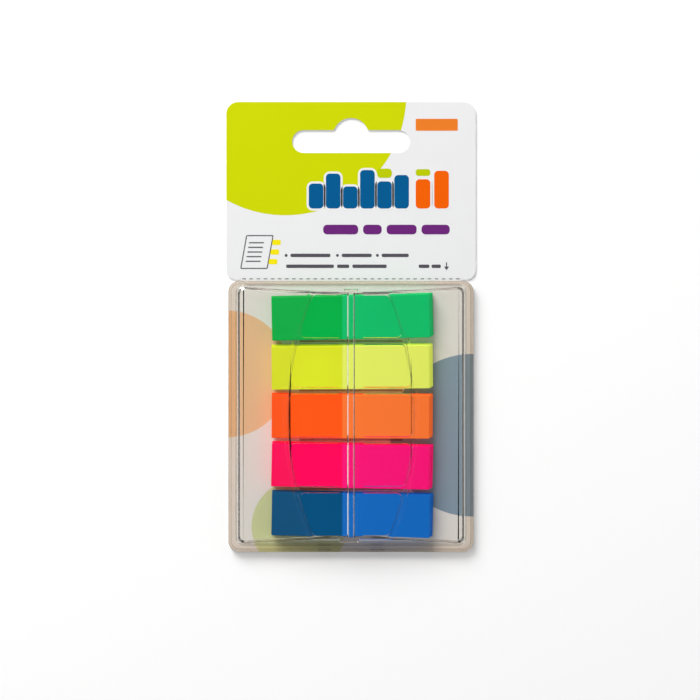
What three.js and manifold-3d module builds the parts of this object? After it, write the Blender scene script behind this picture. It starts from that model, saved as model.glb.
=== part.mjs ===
// Sticky index tabs: five stacks of film flags in a clear pop-up dispenser on a hang card.
// Millimetres, +Z up. The pack lies on its back with the header towards +Y. The origin is the
// middle of its footprint, at the height of the surface it rests on.

import * as THREE from "three";
import { mergeVertices } from "three/addons/utils/BufferGeometryUtils.js";
import Module from "manifold-3d";

const wasm = await Module();
wasm.setup();

// Flag stacks
const flagLength = 45;
const flagWidth = 12;
const stackEndHeight = 3.4; // at the two short ends
const stackCrown = 1.2; // how much higher the folded film stands at mid length
const leaves = 8; // visible folds in the height of a stack
const foldStep = 0.35; // every second fold stands back by this much
const endLean = 1.1; // the top of the right end stands back from its foot
const fanLean = 0.2; // the top of a stack leans towards +Y over its foot
const stackShift = 0.4; // the stacks sit a little right of the middle
const stacks = [
  { name: "flag_stack_green", yaw: 1.2, nudge: 0.2, color: 0x00ad5a },
  { name: "flag_stack_yellow", yaw: 0.5, nudge: 0, color: 0xdbe63c },
  { name: "flag_stack_orange", yaw: -0.3, nudge: 0.1, color: 0xff6a2a },
  { name: "flag_stack_pink", yaw: -1.2, nudge: -0.1, color: 0xff0f70 },
  { name: "flag_stack_blue", yaw: -1.1, nudge: 0.1, color: 0x0064ac },
];

// Rows that the stacks lie in
const rowGap = 1.8; // free width between two stacks
const rowEndRoom = 3.1; // from the outer stacks to the foot of the end walls
const rowSideRoom = 9.9; // from the stack ends to the foot of the side walls

// Backing card
const cardThickness = 0.5;
const headerLength = 50.2;
const headerOverhang = 0.6; // the header is wider than the case by this on each side
const headerTopRadius = 3.3;
const headerFootRadius = 2.8;
const slotWidth = 33;
const slotHeight = 6.4;
const slotFromTop = 11.1; // header's top edge to the middle of the slot
const humpRadius = 5;
const humpRise = 3.4; // top of the hump above the slot
const humpFillet = 0.8;
const slotEndShare = 0.999; // of a half round; a full half round would leave two points in one place
const neckInset = 0.4; // the neck between header and lower card starts inside their corners
const neckLength = 0.3;
const dashLength = 1.05;
const dashWidth = 0.3;
const dashPitch = 2;
const dashRowFromCase = 0.55;

// Clear case: a flat base tray and a moulded cover
const trayThickness = 0.8;
const caseRadius = 3;
const flangeThickness = 0.8;
const sideFlange = 2;
const topFlange = 0.9;
const bottomFlange = 1.7;
const wallRadius = 2.6; // corner of the cover's wall where it meets the flange
const wallDraft = 20; // degrees from upright
const leastCornerRadius = 0.3; // where a wall's corner gets too small for its own radius
const shell = 1; // wall of the cover
const headRoom = 1.3; // over the crown of a stack
const roofRise = 4.2; // crown of the vault over its springing at the side walls

// Raised lens-shaped panel on the vault, with its windows and pads
const panelRise = 0.5;
const panelHalfWidth = 18.7; // at mid length
const panelEndHalfWidth = 11.5; // at the ends of the roof
const windowInset = 1.4; // panel edge to window edge
const windowTrim = 0.1; // a window is this much narrower than a flag
const windowRadius = 1.4;
const windowBarRadius = 0.7; // the two corners beside the ridge
const windowFromBar = 0.65;
const padFromBar = 0.3;
const padDepth = 0.35;

// Hollow ridge along the middle of the vault
const barWidth = 3.9;
const barRise = 0.8;
const barChamfer = 0.35;
const barEndInset = 1.1; // foot of an end wall to the end of the ridge
const barEndLean = 0.5; // the ridge's ends slope back by this
const channelRadius = 1.1;
const footBlockWidth = 5.3;
const footBlockLength = 2;
const footBlockShift = -0.45;

// Dividers between the rows, and the lip and snap tabs that hold the cover
const ribThickness = 0.5;
const ribHeight = 2;
const ribHalfLength = 14.4;
const postClearance = 0.6; // each side of a post, room for a stack that lies askew
const postLength = 4;
const postHeight = 3.6;
const middlePostLength = 5;
const lipThickness = 0.8;
const lipHeight = 1;
const lipClearance = 0.3;
const tabWidth = 3.5;
const tabThickness = 0.5;
const tabHeight = 0.45; // above the flange
const tabSpacing = 14.9;
const tabFromEdge = 0.75;
const tabClearance = 0.2;

// How far a shape that is cut away, or trimmed, runs past the surface that ends it
const overrun = 1;

// Sizes that follow
const rowCount = stacks.length;
const rowPitch = flagWidth + rowGap;
const rowsLength = rowCount * flagWidth + (rowCount - 1) * rowGap;
const wallLength = rowsLength + 2 * rowEndRoom;
const wallWidth = flagLength + 2 * rowSideRoom;
const caseLength = wallLength + topFlange + bottomFlange;
const caseWidth = wallWidth + 2 * sideFlange;
const headerWidth = caseWidth + 2 * headerOverhang;
const totalLength = headerLength + caseLength;

const cardTop = cardThickness;
const trayTop = cardTop + trayThickness;
const flangeTop = trayTop + flangeThickness;
const stackTop = trayTop + stackEndHeight + stackCrown;
const vaultCrown = stackTop + headRoom + shell;
const springing = vaultCrown - roofRise;

const seamY = totalLength / 2 - headerLength;
const caseBottomY = -totalLength / 2;
const wallTopY = seamY - topFlange;
const wallBottomY = caseBottomY + bottomFlange;
const wallMiddleY = (wallTopY + wallBottomY) / 2;

const draftSlope = Math.tan(THREE.MathUtils.degToRad(wallDraft));
const springingHalf = wallWidth / 2 - (springing - flangeTop) * draftSlope;
const vaultRadius = (springingHalf ** 2 + roofRise ** 2) / (2 * roofRise);
const vaultAxisZ = vaultCrown - vaultRadius;

// The panel's edges are arcs from one end of the roof to the other
const roofEndInset = (vaultCrown - flangeTop) * draftSlope;
const panelHalfLength = wallLength / 2 - roofEndInset;
const panelBow = panelHalfWidth - panelEndHalfWidth;
const panelRadius = (panelHalfLength ** 2 + panelBow ** 2) / (2 * panelBow);

const windowWidth = flagWidth - windowTrim;
const barEdge = barWidth / 2;

const point = (x, y) => new THREE.Vector2(x, y);

// Outlines

// Replaces each corner of a closed outline by an arc. A radius of 0 keeps the corner.
function roundCorners(corners, radii, steps = 6) {
  const outline = [];
  corners.forEach((corner, i) => {
    const radius = Array.isArray(radii) ? radii[i] : radii;
    if (radius === 0) {
      outline.push(corner.clone());
      return;
    }
    const before = corners.at(i - 1).clone().sub(corner).normalize();
    const after = corners[(i + 1) % corners.length].clone().sub(corner).normalize();
    const half = Math.acos(THREE.MathUtils.clamp(before.dot(after), -1, 1)) / 2;
    const inwards = before.clone().add(after).normalize();
    const centre = corner.clone().addScaledVector(inwards, radius / Math.sin(half));
    const start = corner.clone().addScaledVector(before, radius / Math.tan(half)).sub(centre);
    const end = corner.clone().addScaledVector(after, radius / Math.tan(half)).sub(centre);
    const sweep = Math.atan2(start.cross(end), start.dot(end));
    for (let k = 0; k <= steps; k++) {
      const arm = start.clone().rotateAround(point(0, 0), (sweep * k) / steps);
      outline.push(centre.clone().add(arm));
    }
  });
  return outline;
}

function rectangle(width, length, middleX = 0, middleY = 0) {
  const [x, y] = [width / 2, length / 2];
  return [
    point(middleX - x, middleY - y),
    point(middleX + x, middleY - y),
    point(middleX + x, middleY + y),
    point(middleX - x, middleY + y),
  ];
}

const mirrored = (outline) => outline.map((p) => point(-p.x, p.y)).reverse();

// Geometry

// An outline in plan, raised from one height to another
function prism(outline, bottom, top) {
  const settings = { depth: top - bottom, bevelEnabled: false };
  return new THREE.ExtrudeGeometry(new THREE.Shape(outline), settings).translate(0, 0, bottom);
}

// A section in x and z, run along Y
function run(section, fromY, toY) {
  const settings = { depth: toY - fromY, bevelEnabled: false };
  const geometry = new THREE.ExtrudeGeometry(new THREE.Shape(section), settings);
  return geometry.rotateX(Math.PI / 2).translate(0, toY, 0);
}

// A skin through outlines of equal point counts, one above the other, closed at both ends
function loft(levels) {
  const count = levels[0].outline.length;
  const position = levels.flatMap(({ z, outline }) => outline.flatMap((p) => [p.x, p.y, z]));
  const index = [];
  for (let level = 0; level + 1 < levels.length; level++) {
    for (let i = 0; i < count; i++) {
      const a = level * count + i;
      const b = level * count + ((i + 1) % count);
      index.push(a, b, b + count, a, b + count, a + count);
    }
  }
  const last = (levels.length - 1) * count;
  for (const [a, b, c] of THREE.ShapeUtils.triangulateShape(levels[0].outline, [])) {
    index.push(c, b, a, a + last, b + last, c + last);
  }
  const geometry = new THREE.BufferGeometry();
  geometry.setAttribute("position", new THREE.Float32BufferAttribute(position, 3));
  geometry.setIndex(index);
  return geometry;
}

// Booleans

function solid(geometry) {
  const bare = geometry.clone();
  bare.deleteAttribute("normal");
  bare.deleteAttribute("uv");
  const welded = mergeVertices(bare);
  const vertProperties = new Float32Array(welded.attributes.position.array);
  const triVerts = Uint32Array.from(welded.index.array);
  return new wasm.Manifold(new wasm.Mesh({ numProp: 3, vertProperties, triVerts }));
}

const joined = (...solids) => solids.reduce((whole, next) => whole.add(next));
const common = (...solids) => solids.reduce((whole, next) => whole.intersect(next));

function surface(body) {
  const mesh = body.getMesh();
  const geometry = new THREE.BufferGeometry();
  geometry.setAttribute("position", new THREE.BufferAttribute(mesh.vertProperties, 3));
  geometry.setIndex(new THREE.BufferAttribute(mesh.triVerts, 1));
  geometry.computeVertexNormals();
  return geometry;
}

// Backing card: the header and the lower card are one sheet, notched in where they meet

function hangHole() {
  const middleY = totalLength / 2 - slotFromTop;
  const [halfWidth, halfHeight] = [slotWidth / 2, slotHeight / 2];
  const humpMiddleY = middleY + halfHeight + humpRise - humpRadius;
  const humpFootX = Math.sqrt(humpRadius ** 2 - (middleY + halfHeight - humpMiddleY) ** 2);
  const humpFoot = Math.atan2(middleY + halfHeight - humpMiddleY, humpFootX);
  const corners = [
    point(-halfWidth, middleY - halfHeight),
    point(halfWidth, middleY - halfHeight),
    point(halfWidth, middleY + halfHeight),
    point(humpFootX, middleY + halfHeight),
  ];
  const humpSteps = 12;
  for (let k = 1; k < humpSteps; k++) {
    const angle = humpFoot + ((Math.PI - 2 * humpFoot) * k) / humpSteps;
    const [x, y] = [humpRadius * Math.cos(angle), humpRadius * Math.sin(angle)];
    corners.push(point(x, humpMiddleY + y));
  }
  corners.push(point(-humpFootX, middleY + halfHeight), point(-halfWidth, middleY + halfHeight));
  const radii = corners.map(() => 0);
  const slotEnd = halfHeight * slotEndShare;
  [0, 1, 2, radii.length - 1].forEach((i) => (radii[i] = slotEnd));
  [3, radii.length - 2].forEach((i) => (radii[i] = humpFillet));
  return roundCorners(corners, radii, 8);
}

// The row of cuts that the header tears off along
function perforation() {
  const middleY = seamY + dashRowFromCase;
  const straight = caseWidth - 2 * caseRadius;
  const count = Math.floor((straight - dashLength) / dashPitch) + 1;
  const dashes = [];
  for (let i = 0; i < count; i++) {
    const x = (i - (count - 1) / 2) * dashPitch;
    dashes.push(rectangle(dashLength, dashWidth, x, middleY));
  }
  return dashes;
}

function backingCard() {
  const [headerX, caseX] = [headerWidth / 2, caseWidth / 2];
  const topY = totalLength / 2;
  const neckX = caseX - Math.max(caseRadius, headerFootRadius) - neckInset;
  const rightSide = [
    [point(caseX, caseBottomY), caseRadius],
    [point(caseX, seamY), caseRadius],
    [point(neckX, seamY), 0],
    [point(neckX, seamY + neckLength), 0],
    [point(headerX, seamY + neckLength), headerFootRadius],
    [point(headerX, topY), headerTopRadius],
  ];
  const leftSide = rightSide.map(([p, radius]) => [point(-p.x, p.y), radius]).reverse();
  const corners = [...rightSide, ...leftSide];
  const outline = roundCorners(
    corners.map(([p]) => p),
    corners.map(([, radius]) => radius),
  );
  const sheet = solid(prism(outline, 0, cardTop));
  const openings = [hangHole(), ...perforation()];
  const cuts = openings.map((opening) => solid(prism(opening, -cardThickness, 2 * cardTop)));
  return surface(cuts.reduce((card, cut) => card.subtract(cut), sheet));
}

// Clear tray: floor, locating lip, row dividers and two snap tabs

function caseOutline(radius = caseRadius) {
  const middleY = (seamY + caseBottomY) / 2;
  return roundCorners(rectangle(caseWidth, caseLength, 0, middleY), radius);
}

// The cover's wall at a height, moved in by some amount
function wallOutline(z, inset = 0) {
  const back = inset + (z - flangeTop) * draftSlope;
  const corners = rectangle(wallWidth - 2 * back, wallLength - 2 * back, 0, wallMiddleY);
  return roundCorners(corners, Math.max(wallRadius - back, leastCornerRadius));
}

function locatingLip() {
  const [bottom, top] = [cardTop + trayThickness / 2, trayTop + lipHeight];
  const outside = shell + lipClearance + (top - flangeTop) * draftSlope;
  const ring = (inset) => roundCorners(
    rectangle(wallWidth - 2 * inset, wallLength - 2 * inset, 0, wallMiddleY),
    Math.max(wallRadius - inset, leastCornerRadius),
  );
  const hollow = solid(prism(ring(outside + lipThickness), 0, 2 * top));
  return solid(prism(ring(outside), bottom, top)).subtract(hollow);
}

function divider(gap) {
  const middleY = rowY(gap) - rowPitch / 2;
  const bottom = cardTop + trayThickness / 2;
  const postThickness = rowGap - 2 * postClearance;
  const rib = solid(prism(
    rectangle(2 * ribHalfLength, ribThickness, 0, middleY),
    bottom,
    trayTop + ribHeight,
  ));
  const post = (length, x) => solid(prism(
    rectangle(length, postThickness, x, middleY),
    bottom,
    trayTop + postHeight,
  ));
  const sidePostX = ribHalfLength - postLength / 2;
  return joined(
    rib,
    post(middlePostLength, 0),
    post(postLength, sidePostX),
    post(postLength, -sidePostX),
  );
}

function tabOutline(side, clearance) {
  const y = caseBottomY + tabFromEdge + tabThickness / 2;
  const x = (side * tabSpacing) / 2;
  return rectangle(tabWidth + 2 * clearance, tabThickness + 2 * clearance, x, y);
}

function baseTray() {
  const floor = solid(prism(caseOutline(), cardTop, trayTop));
  const gaps = stacks.slice(1).map((stack, gap) => divider(gap));
  const tabs = [-1, 1].map((side) => solid(prism(
    tabOutline(side, 0),
    cardTop + trayThickness / 2,
    flangeTop + tabHeight,
  )));
  return surface(joined(floor, locatingLip(), ...gaps, ...tabs));
}

// Moulded cover

// Everything under the vault, its surface moved out by some amount
function underVault(offset) {
  const radius = vaultRadius + offset;
  const reach = Math.asin((wallWidth / 2 + overrun) / radius);
  const steps = 40;
  const section = [];
  for (let k = 0; k <= steps; k++) {
    const angle = reach - (2 * reach * k) / steps;
    section.push(point(radius * Math.sin(angle), vaultAxisZ + radius * Math.cos(angle)));
  }
  section.push(point(-wallWidth / 2 - overrun, 0), point(wallWidth / 2 + overrun, 0));
  return solid(run(section, caseBottomY - overrun, seamY + overrun));
}

// The space inside the drafted walls, moved in by some amount, up past the crown
function insideWalls(inset, bottom) {
  const top = vaultCrown + panelRise;
  const levels = [bottom, top].map((z) => ({ z, outline: wallOutline(z, inset) }));
  return solid(loft(levels));
}

function panelEdgeX(y) {
  return Math.sqrt(panelRadius ** 2 - (y - wallMiddleY) ** 2) - panelRadius + panelHalfWidth;
}

// The lens outline runs past the roof's ends, where the walls trim it
function panelOutline(inset) {
  const steps = 24;
  const reach = panelHalfLength + overrun;
  const rightEdge = [];
  for (let k = 0; k <= steps; k++) {
    const y = wallMiddleY - reach + (2 * reach * k) / steps;
    rightEdge.push(point(panelEdgeX(y) - inset, y));
  }
  return [...rightEdge, ...mirrored(rightEdge)];
}

function rowY(row) {
  return wallMiddleY + ((rowCount - 1) / 2 - row) * rowPitch;
}

// The outline over a row's right half: it follows the panel's edge on its outer side
function rowOutline(row, fromX) {
  const steps = 6;
  const [lowY, highY] = [rowY(row) - windowWidth / 2, rowY(row) + windowWidth / 2];
  const corners = [];
  for (let k = 0; k <= steps; k++) {
    const y = lowY + ((highY - lowY) * k) / steps;
    corners.push(point(panelEdgeX(y) - windowInset, y));
  }
  corners.push(point(fromX, highY), point(fromX, lowY));
  const radii = corners.map(() => 0);
  radii[0] = windowRadius;
  radii[steps] = windowRadius;
  radii[steps + 1] = windowBarRadius;
  radii[steps + 2] = windowBarRadius;
  return roundCorners(corners, radii, 5);
}

function ridge() {
  const top = vaultCrown + panelRise + barRise;
  const shoulder = barWidth / 2 - barChamfer;
  const section = [
    point(-barWidth / 2, flangeTop),
    point(barWidth / 2, flangeTop),
    point(barWidth / 2, top - barChamfer),
    point(shoulder, top),
    point(-shoulder, top),
    point(-barWidth / 2, top - barChamfer),
  ];
  const fromY = wallBottomY + barEndInset;
  const toY = wallTopY - barEndInset;
  const bar = solid(run(section, fromY, toY));
  const ends = (z) => {
    const back = barEndLean * ((z - flangeTop) / (top - flangeTop));
    const length = toY - fromY - 2 * back;
    return { z, outline: rectangle(barWidth, length, 0, (fromY + toY) / 2) };
  };
  const sloped = solid(loft([ends(flangeTop), ends(top)]));
  const block = rectangle(footBlockWidth, footBlockLength, footBlockShift, fromY + footBlockLength / 2);
  const foot = solid(prism(block, flangeTop, vaultCrown + panelRise));
  return joined(common(bar, sloped), foot);
}

// Hollow of the ridge, half round at its top
function channel() {
  const steps = 8;
  const middleZ = vaultCrown + panelRise + barRise - shell - channelRadius;
  const section = [point(-channelRadius, trayTop), point(channelRadius, trayTop)];
  for (let k = 0; k <= steps; k++) {
    const angle = (Math.PI * k) / steps;
    const [x, z] = [channelRadius * Math.cos(angle), channelRadius * Math.sin(angle)];
    section.push(point(x, middleZ + z));
  }
  const end = barEndInset + shell + barEndLean;
  return solid(run(section, wallBottomY + end, wallTopY - end));
}

function dispenserCover() {
  const flange = solid(prism(caseOutline(), trayTop, flangeTop));
  const vault = common(underVault(0), insideWalls(0, trayTop + flangeThickness / 2));
  const lens = solid(prism(panelOutline(0), flangeTop, vaultCrown + 2 * panelRise));
  const panel = common(lens, underVault(panelRise), insideWalls(0, flangeTop));
  const outside = joined(flange, vault, panel, ridge());

  const hollow = common(underVault(-shell), insideWalls(shell, trayTop - flangeThickness));
  const lensHollow = solid(prism(panelOutline(shell), trayTop, vaultCrown + panelRise));
  const panelHollow = common(
    lensHollow,
    underVault(panelRise - shell),
    insideWalls(shell, trayTop - flangeThickness),
  );
  const inside = joined(hollow, panelHollow, channel());

  const top = vaultCrown + 2 * (panelRise + barRise);
  const windows = stacks.map((stack, row) => {
    const outline = mirrored(rowOutline(row, barEdge + windowFromBar));
    return solid(prism(outline, flangeTop, top));
  });
  const padFloor = underVault(panelRise - padDepth);
  const pads = stacks.map((stack, row) => {
    const outline = rowOutline(row, barEdge + padFromBar);
    return solid(prism(outline, flangeTop, top)).subtract(padFloor);
  });
  const tabSlots = [-1, 1].map((side) =>
    solid(prism(tabOutline(side, tabClearance), 0, flangeTop + tabHeight)));
  const cuts = [inside, ...windows, ...pads, ...tabSlots];
  return surface(cuts.reduce((body, cut) => body.subtract(cut), outside));
}

// Flag stack: folded film, stepped at both ends, higher at mid length

function flagStack() {
  const step = (leaf) => (leaf % 2 === 1 ? foldStep : 0);
  const right = [];
  const left = [];
  for (let leaf = 0; leaf < leaves; leaf++) {
    const [low, high] = [leaf / leaves, (leaf + 1) / leaves];
    const rightX = flagLength / 2 - (endLean * leaf) / (leaves - 1) - step(leaf);
    const leftX = -flagLength / 2 + step(leaf + 1);
    right.push(point(rightX, low * stackEndHeight), point(rightX, high * stackEndHeight));
    left.push(point(leftX, low * stackEndHeight), point(leftX, high * stackEndHeight));
  }
  const steps = 20;
  const [fromX, toX] = [right.at(-1).x, left.at(-1).x];
  const crown = [];
  for (let k = 1; k < steps; k++) {
    const along = k / steps;
    const rise = stackCrown * Math.sin(Math.PI * along);
    crown.push(point(THREE.MathUtils.lerp(fromX, toX, along), stackEndHeight + rise));
  }
  const geometry = run([...right, ...crown, ...left.reverse()], -flagWidth / 2, flagWidth / 2);
  const position = geometry.attributes.position;
  for (let i = 0; i < position.count; i++) {
    const height = position.getZ(i) / (stackEndHeight + stackCrown);
    position.setY(i, position.getY(i) + fanLean * (height - 0.5));
  }
  geometry.computeVertexNormals();
  return geometry;
}

// Materials

const paper = new THREE.MeshStandardMaterial({ color: 0xf2f2f0, roughness: 0.55, metalness: 0 });
const clear = { color: 0xddd5cd, roughness: 0.08, metalness: 0, transparent: true, opacity: 0.35 };
const film = (color) => new THREE.MeshStandardMaterial({ color, roughness: 0.38, metalness: 0 });

// Assembly

function piece(name, geometry, material) {
  const mesh = new THREE.Mesh(geometry, material);
  mesh.name = name;
  return mesh;
}

const pack = new THREE.Group();
pack.add(piece("backing_card", backingCard(), paper));
pack.add(piece("base_tray", baseTray(), new THREE.MeshStandardMaterial(clear)));
pack.add(piece("dispenser_cover", dispenserCover(), new THREE.MeshStandardMaterial(clear)));
stacks.forEach(({ name, yaw, nudge, color }, row) => {
  const stack = piece(name, flagStack(), film(color));
  stack.position.set(stackShift, rowY(row) + nudge, trayTop);
  stack.rotation.z = THREE.MathUtils.degToRad(yaw);
  pack.add(stack);
});

export default pack;
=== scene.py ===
# %% [markdown]
# # Sticky index tabs
# A flat shop pack: five stacks of bright film flags lie in a clear moulded case on a printed card.
# The CAD model gives every size and place. This notebook gives each piece its looks.
# We load the CAD first, because everything else is measured from it.

# %% Load the frame
import math
import bmesh
import bpy
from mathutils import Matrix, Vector


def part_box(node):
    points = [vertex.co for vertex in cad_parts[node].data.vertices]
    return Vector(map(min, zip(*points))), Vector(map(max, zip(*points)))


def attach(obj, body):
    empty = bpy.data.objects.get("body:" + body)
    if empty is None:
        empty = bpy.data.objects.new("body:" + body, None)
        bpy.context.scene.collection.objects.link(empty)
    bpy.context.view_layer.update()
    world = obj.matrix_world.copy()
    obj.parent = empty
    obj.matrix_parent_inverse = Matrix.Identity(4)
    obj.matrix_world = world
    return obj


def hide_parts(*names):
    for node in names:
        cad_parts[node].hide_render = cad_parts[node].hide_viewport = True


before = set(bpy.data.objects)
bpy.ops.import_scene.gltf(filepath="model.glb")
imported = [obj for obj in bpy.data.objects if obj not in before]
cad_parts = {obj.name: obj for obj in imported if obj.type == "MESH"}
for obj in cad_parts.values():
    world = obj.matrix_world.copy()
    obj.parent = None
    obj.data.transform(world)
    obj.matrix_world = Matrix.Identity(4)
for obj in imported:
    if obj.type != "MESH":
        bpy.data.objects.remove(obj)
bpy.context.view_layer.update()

MM = 0.001
CARD_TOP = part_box("backing_card")[1].z

# %% [markdown]
# Shader nodes are easier to read when each line makes one node. These helpers add a node, set its
# plain values and link its inputs in one call. An input that is given a socket gets a link.

# %% Node helpers
def add_node(tree, kind, settings=None, **inputs):
    """Adds a node. An input goes by its label, or by i and its number."""
    node = tree.nodes.new(kind)
    for name, value in (settings or {}).items():
        setattr(node, name, value)
    for name, value in inputs.items():
        by_number = name[0] == "i" and name[1:].isdigit()
        socket = node.inputs[int(name[1:]) if by_number else name.replace("_", " ")]
        if isinstance(value, bpy.types.NodeSocket):
            tree.links.new(value, socket)
        else:
            socket.default_value = value
    return node


def calc(tree, operation, first, second=0.0, third=0.0):
    """The result of one Math node."""
    node = add_node(tree, "ShaderNodeMath", {"operation": operation}, i0=first, i1=second, i2=third)
    return node.outputs[0]


def combine(tree, operation, masks):
    """One mask from several: MULTIPLY asks for all of them, MAXIMUM for any one."""
    result = masks[0]
    for mask in masks[1:]:
        result = calc(tree, operation, result, mask)
    return result


def mix_colors(tree, share, first, second):
    """The first colour where share is 0, and the second where it is 1."""
    return add_node(tree, "ShaderNodeMix", {"data_type": "RGBA"}, i0=share, i6=first, i7=second).outputs[2]


def new_material(name):
    material = bpy.data.materials.new(name)
    material.use_nodes = True
    material.node_tree.nodes.clear()
    return material, material.node_tree


print("made the node helpers")

# %% [markdown]
# Colours are easiest to pick as they look on a screen, but shaders count light, so each one is
# turned into linear light once. New meshes become objects at the origin, as the CAD solids are.

# %% Colours and objects
def linear(red, green, blue):
    """A screen colour, 0 to 255, as the linear colour that shaders use."""
    parts = [c / 255 for c in (red, green, blue)]
    return (*[c / 12.92 if c <= 0.04045 else ((c + 0.055) / 1.055) ** 2.4 for c in parts], 1)


def new_object(name, data):
    thing = bpy.data.objects.new(name, data)
    bpy.context.scene.collection.objects.link(thing)
    return thing


print("white card in linear light:", [round(c, 2) for c in linear(239, 239, 239)[:3]])

# %% [markdown]
# ## Effects that several finishes share
# Such an effect is a shader node group: it is built once, and every material that holds it gives it
# values of its own. All groups start the same way, with named inputs and outputs.

# %% Start a shader group
def new_group(name, inputs, outputs):
    """A shader node group with its input and output nodes. An input has a label, a kind and a value."""
    group = bpy.data.node_groups.new(name, "ShaderNodeTree")
    for label, kind, value in inputs:
        socket = group.interface.new_socket(label, in_out="INPUT", socket_type="NodeSocket" + kind)
        if value is not None:
            socket.default_value = value
    for label, kind in outputs:
        group.interface.new_socket(label, in_out="OUTPUT", socket_type="NodeSocket" + kind)
    return group, group.nodes.new("NodeGroupInput"), group.nodes.new("NodeGroupOutput")


print("made the start of a shader group")

# %% [markdown]
# Coated card, ink and film all have a fine grain: the colour and the gloss change a little from
# place to place. Two noises make it. The fine one is the grain, and the broad one is a mottle.

# %% Fine grain group
def make_grain_group():
    group, start, end = new_group(
        "fine_grain",
        [("Color", "Color", None), ("Grain per metre", "Float", 2500.0), ("Mottle per metre", "Float", 150.0),
         ("Color change", "Float", 0.03), ("Roughness", "Float", 0.4), ("Roughness change", "Float", 0.08)],
        [("Color", "Color"), ("Roughness", "Float"), ("Height", "Float")])
    get = start.outputs
    place = add_node(group, "ShaderNodeTexCoord").outputs["Object"]
    fine = add_node(group, "ShaderNodeTexNoise", Vector=place, Scale=get["Grain per metre"], Detail=3.0,
                    Roughness=0.6).outputs["Fac"]
    broad = add_node(group, "ShaderNodeTexNoise", Vector=place, Scale=get["Mottle per metre"], Detail=2.0,
                     Roughness=0.5).outputs["Fac"]
    centred = calc(group, "SUBTRACT", calc(group, "ADD", fine, broad), 1.0)
    shade = calc(group, "MULTIPLY_ADD", centred, get["Color change"], 1.0)
    tinted = add_node(group, "ShaderNodeVectorMath", {"operation": "SCALE"}, i0=get["Color"], Scale=shade)
    gloss = calc(group, "MULTIPLY_ADD", centred, get["Roughness change"], get["Roughness"])
    group.links.new(tinted.outputs[0], end.inputs["Color"])
    group.links.new(gloss, end.inputs["Roughness"])
    group.links.new(fine, end.inputs["Height"])
    return group


GRAIN = make_grain_group()
print("made the group", GRAIN.name)

# %% [markdown]
# Card, ink and film are all satin surfaces with that grain, so one helper ends their materials. The
# gloss level is a plain value on the shader, because it is the same all over.

# %% Grained shader
GRAIN_DEPTH = 0.01 * MM


def add_grained_shader(tree, color, bump, specular, **grain_values):
    """A Principled shader with the fine grain. Gives the grained colour and the shader."""
    grain = add_node(tree, "ShaderNodeGroup", {"node_tree": GRAIN}, Color=color, **grain_values)
    relief = add_node(tree, "ShaderNodeBump", Strength=bump, Distance=GRAIN_DEPTH,
                      Height=grain.outputs["Height"])
    shader = add_node(tree, "ShaderNodeBsdfPrincipled", Base_Color=grain.outputs["Color"],
                      Roughness=grain.outputs["Roughness"], Specular_IOR_Level=specular,
                      Normal=relief.outputs[0])
    add_node(tree, "ShaderNodeOutputMaterial", Surface=shader.outputs[0])
    return grain.outputs["Color"], shader


print("grain depth in mm:", GRAIN_DEPTH / MM)

# %% [markdown]
# Clear plastic that hangs in a shop gets rubbed by hands and by the next pack. This group makes soft
# smears from a broad noise: where the noise is high, the plastic is a little rougher.

# %% Handling rubs group
SMEARS_PER_METRE = 60.0


def make_rub_group():
    group, start, end = new_group(
        "handling_rubs",
        [("Smooth", "Float", 0.02), ("Rubbed", "Float", 0.1)],
        [("Roughness", "Float"), ("Height", "Float")])
    place = add_node(group, "ShaderNodeTexCoord").outputs["Object"]
    broad = add_node(group, "ShaderNodeTexNoise", Vector=place, Scale=SMEARS_PER_METRE,
                     Detail=3.0).outputs["Fac"]
    smear = add_node(group, "ShaderNodeMapRange", Value=broad, From_Min=0.5, From_Max=0.8).outputs[0]
    rough = add_node(group, "ShaderNodeMapRange", Value=smear, To_Min=start.outputs["Smooth"],
                     To_Max=start.outputs["Rubbed"])
    group.links.new(rough.outputs[0], end.inputs["Roughness"])
    group.links.new(broad, end.inputs["Height"])
    return group


RUBS = make_rub_group()
print("made the group", RUBS.name)

# %% [markdown]
# ## The backing card
# The card is white coated board with flat fields of colour. The fields are large circles, so the
# card's own material can draw them: a point is in a circle when its distance to the middle is less
# than the radius. An image would do it too, but it would blur up close.

# %% Circle group
PRINT_SOFTNESS = 0.04 * MM


def make_circle_group():
    group, start, end = new_group(
        "printed_circle", [("Middle", "Vector", None), ("Radius", "Float", None)], [("Mask", "Float")])
    place = add_node(group, "ShaderNodeTexCoord").outputs["Object"]
    flat = add_node(group, "ShaderNodeVectorMath", {"operation": "MULTIPLY"}, i0=place, i1=(1, 1, 0))
    far = add_node(group, "ShaderNodeVectorMath", {"operation": "DISTANCE"}, i0=flat.outputs[0],
                   i1=start.outputs["Middle"])
    edge = calc(group, "SUBTRACT", start.outputs["Radius"], far.outputs["Value"])
    soft = add_node(group, "ShaderNodeMapRange", Value=edge, From_Min=-PRINT_SOFTNESS,
                    From_Max=PRINT_SOFTNESS)
    group.links.new(soft.outputs[0], end.inputs["Mask"])
    return group


CIRCLE = make_circle_group()
print("made the group", CIRCLE.name)

# %% [markdown]
# The card's material lays the circles over white, one after the other. Only the printed face gets
# them, so a point's height decides first. Each circle also stays on its own side of the case's top
# edge, which is just below the tear-off cuts.

# %% Card material
CARD_WHITE = linear(239, 239, 240)
HEADER_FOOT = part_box("dispenser_cover")[1].y
FACE_DEPTH = 0.02 * MM
FIELDS = [  # middle x and y, radius in mm, colour, and which part of the card it is printed on
    (-18.45, 65.3, 34.0, linear(208, 217, 0), "header"),
    (-34.9, -13.2, 17.8, linear(243, 201, 160), "case"),
    (33.8, -30.4, 22.8, linear(140, 163, 184), "case"),
    (-14.5, -56.0, 13.3, linear(215, 224, 172), "case"),
]


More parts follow.
